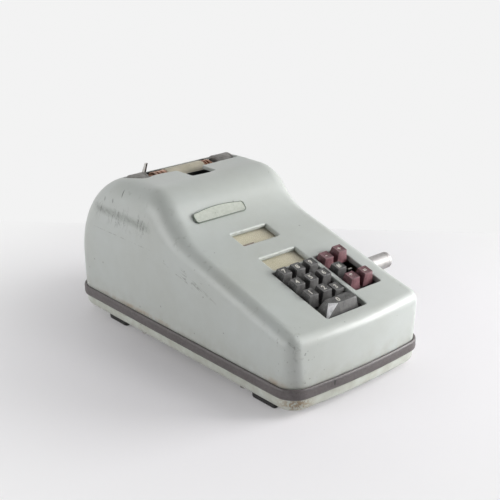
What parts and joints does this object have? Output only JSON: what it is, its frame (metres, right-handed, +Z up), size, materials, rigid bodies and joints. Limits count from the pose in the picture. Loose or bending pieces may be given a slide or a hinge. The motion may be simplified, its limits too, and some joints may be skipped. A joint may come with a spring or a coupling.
{
  "type": "mechanical adding machine",
  "caption": "Ten-key mechanical adding machine with a sloping key deck, two display windows, a rounded hood over a printing platen, and a side hub for a hand lever.",
  "frame": {"origin": "on the table, below the middle of the whole machine's box, drive hub included", "axes": "+X to the machine's right, along the drive hub; +Y to the rear; +Z up"},
  "size_m": [0.216, 0.3786, 0.184],
  "materials": {
    "badge_metal": "satin, blank",
    "pan_paint": "satin pale green-grey enamel",
    "black_sheet": "black sheet steel",
    "brass": "turned",
    "bright_steel": "bright turned steel",
    "charcoal_cap": "worn satin",
    "copper_collar": "tarnished",
    "cream_plate": "aged cream enamel",
    "platen_rubber": "aged cream rubber",
    "dark_parts": "dark",
    "foot_rubber": "black rubber",
    "window_glass": "clear",
    "body_paint": "satin pale green-grey enamel",
    "hub_aluminium": "satin turned",
    "knob_plastic": "satin grey",
    "maroon_cap": "worn satin",
    "ribbon_fabric": "inked cloth",
    "frame_steel": "plain steel",
    "band_rubber": "dark brown-grey rubber"
  },
  "bodies": {
    "root": {"housing": "body_paint", "base_pan": "pan_paint", "trim_band": "band_rubber", "feet": "foot_rubber", "left_frame": "frame_steel", "right_frame": "frame_steel", "tie_rods": "bright_steel", "frame_screws": "frame_steel", "frame_brackets": "frame_steel", "pan_screws": "frame_steel", "key_top_plate": "black_sheet", "key_comb_plate": "frame_steel", "window_panes": "window_glass", "indicator_plates": "cream_plate", "badge_plate": "badge_metal", "hub_bush": "brass", "return_spring": "frame_steel", "carriage_rails": "bright_steel", "register_axle": "bright_steel", "type_shaft": "bright_steel", "ribbon_deck": "black_sheet", "ribbon": "ribbon_fabric", "paper_shelf": "frame_steel", "platen_brackets": "frame_steel", "paper_chute": "black_sheet"},
    "drive": {"drive_shaft": "bright_steel", "drive_hub": "hub_aluminium", "drive_gear": "frame_steel"},
    "main_drive": {"main_shaft": "bright_steel", "main_gear": "frame_steel", "main_cams": "frame_steel"},
    "carriage": {"pin_carriage": "frame_steel", "indicator_flag": "dark_parts"},
    "register": {"register_wheels": "cream_plate"},
    "type_arms": {"type_sectors": "frame_steel"},
    "platen": {"platen_shaft": "bright_steel", "platen_roller": "platen_rubber", "platen_collars": "copper_collar", "platen_knobs": "knob_plastic"},
    "paper_release": {"release_lever": "bright_steel", "pressure_rollers": "foot_rubber"},
    "spool_left": {"left_spool": "dark_parts"},
    "spool_right": {"right_spool": "dark_parts"},
    "key_1_body": {"key_1": "charcoal_cap"},
    "key_2_body": {"key_2": "charcoal_cap"},
    "key_3_body": {"key_3": "charcoal_cap"},
    "key_4_body": {"key_4": "charcoal_cap"},
    "key_5_body": {"key_5": "charcoal_cap"},
    "key_6_body": {"key_6": "charcoal_cap"},
    "key_7_body": {"key_7": "charcoal_cap"},
    "key_8_body": {"key_8": "charcoal_cap"},
    "key_9_body": {"key_9": "charcoal_cap"},
    "key_0_body": {"key_0": "charcoal_cap"},
    "function_key_1_body": {"function_key_1": "maroon_cap"},
    "function_key_2_body": {"function_key_2": "maroon_cap"},
    "function_key_3_body": {"function_key_3": "charcoal_cap"},
    "function_key_4_body": {"function_key_4": "maroon_cap"},
    "function_key_5_body": {"function_key_5": "maroon_cap"},
    "bare_stem_body": {"bare_stem": "bright_steel"}
  },
  "joints": [
    {"name": "key_1_press", "type": "slide", "parent": "root", "child": "key_1_body", "axis": [0, 0.284, -0.9588], "range_m": [0, 0.006], "stiffness_N_per_m": 120, "springref_m": -0.003},
    {"name": "key_2_press", "type": "slide", "parent": "root", "child": "key_2_body", "axis": [0, 0.284, -0.9588], "range_m": [0, 0.006], "stiffness_N_per_m": 120, "springref_m": -0.003},
    {"name": "key_3_press", "type": "slide", "parent": "root", "child": "key_3_body", "axis": [0, 0.284, -0.9588], "range_m": [-0.0045, 0.0015]},
    {"name": "key_4_press", "type": "slide", "parent": "root", "child": "key_4_body", "axis": [0, 0.284, -0.9588], "range_m": [0, 0.006], "stiffness_N_per_m": 120, "springref_m": -0.003},
    {"name": "key_5_press", "type": "slide", "parent": "root", "child": "key_5_body", "axis": [0, 0.284, -0.9588], "range_m": [0, 0.006], "stiffness_N_per_m": 120, "springref_m": -0.003},
    {"name": "key_6_press", "type": "slide", "parent": "root", "child": "key_6_body", "axis": [0, 0.284, -0.9588], "range_m": [0, 0.006], "stiffness_N_per_m": 120, "springref_m": -0.003},
    {"name": "key_7_press", "type": "slide", "parent": "root", "child": "key_7_body", "axis": [0, 0.284, -0.9588], "range_m": [0, 0.006], "stiffness_N_per_m": 120, "springref_m": -0.003},
    {"name": "key_8_press", "type": "slide", "parent": "root", "child": "key_8_body", "axis": [0, 0.284, -0.9588], "range_m": [0, 0.006], "stiffness_N_per_m": 120, "springref_m": -0.003},
    {"name": "key_9_press", "type": "slide", "parent": "root", "child": "key_9_body", "axis": [0, 0.284, -0.9588], "range_m": [0, 0.006], "stiffness_N_per_m": 120, "springref_m": -0.003},
    {"name": "key_0_press", "type": "slide", "parent": "root", "child": "key_0_body", "axis": [0, 0.284, -0.9588], "range_m": [0, 0.006], "stiffness_N_per_m": 120, "springref_m": -0.003},
    {"name": "function_key_1_press", "type": "slide", "parent": "root", "child": "function_key_1_body", "axis": [0, 0.284, -0.9588], "range_m": [0, 0.006], "stiffness_N_per_m": 120, "springref_m": -0.003},
    {"name": "function_key_2_press", "type": "slide", "parent": "root", "child": "function_key_2_body", "axis": [0, 0.284, -0.9588], "range_m": [0, 0.006], "stiffness_N_per_m": 120, "springref_m": -0.003},
    {"name": "function_key_3_press", "type": "slide", "parent": "root", "child": "function_key_3_body", "axis": [0, 0.284, -0.9588], "range_m": [0, 0.006], "stiffness_N_per_m": 120, "springref_m": -0.003},
    {"name": "function_key_4_press", "type": "slide", "parent": "root", "child": "function_key_4_body", "axis": [0, 0.284, -0.9588], "range_m": [0, 0.006], "stiffness_N_per_m": 120, "springref_m": -0.003},
    {"name": "function_key_5_press", "type": "slide", "parent": "root", "child": "function_key_5_body", "axis": [0, 0.284, -0.9588], "range_m": [0, 0.006], "stiffness_N_per_m": 120, "springref_m": -0.003},
    {"name": "bare_stem_press", "type": "slide", "parent": "root", "child": "bare_stem_body", "axis": [0, 0.284, -0.9588], "range_m": [0, 0.006], "stiffness_N_per_m": 120, "springref_m": -0.003},
    {"name": "drive_turn", "type": "hinge", "parent": "root", "child": "drive", "pos_m": [0.085, -0.10275, 0.084], "axis": [1, 0, 0], "range_deg": [0, 75], "stiffness_Nm_per_rad": 0.3, "springref_deg": -11.46},
    {"name": "main_drive_turn", "type": "hinge", "parent": "root", "child": "main_drive", "pos_m": [-0.015, -0.06879, 0.05448], "axis": [1, 0, 0], "range_deg": [-38, 1]},
    {"name": "register_turn", "type": "hinge", "parent": "root", "child": "register", "pos_m": [-0.015, -0.00475, 0.08], "axis": [1, 0, 0], "range_deg": [-91, 1]},
    {"name": "type_lift", "type": "hinge", "parent": "root", "child": "type_arms", "pos_m": [-0.015, 0.04025, 0.095], "axis": [1, 0, 0], "range_deg": [-1, 23]},
    {"name": "carriage_step", "type": "slide", "parent": "root", "child": "carriage", "axis": [1, 0, 0], "range_m": [0, 0.028]},
    {"name": "platen_turn", "type": "hinge", "parent": "root", "child": "platen", "pos_m": [-0.015, 0.09825, 0.1588], "axis": [1, 0, 0], "continuous": true},
    {"name": "release_tilt", "type": "hinge", "parent": "root", "child": "paper_release", "pos_m": [-0.015, 0.12025, 0.138], "axis": [1, 0, 0], "range_deg": [0, 8], "stiffness_Nm_per_rad": 0.3, "springref_deg": -17.19},
    {"name": "left_spool_turn", "type": "hinge", "parent": "root", "child": "spool_left", "pos_m": [-0.06, 0.05775, 0.1428], "axis": [0, 0, 1], "continuous": true},
    {"name": "right_spool_turn", "type": "hinge", "parent": "root", "child": "spool_right", "pos_m": [0.035, 0.05775, 0.1428], "axis": [0, 0, 1], "continuous": true}
  ],
  "couplings": [
    {"joint": "main_drive_turn", "follows": "drive_turn", "ratio": -0.5},
    {"joint": "register_turn", "follows": "drive_turn", "ratio": -1.2},
    {"joint": "type_lift", "follows": "drive_turn", "ratio": 0.3},
    {"joint": "right_spool_turn", "follows": "left_spool_turn", "ratio": 1}
  ]
}
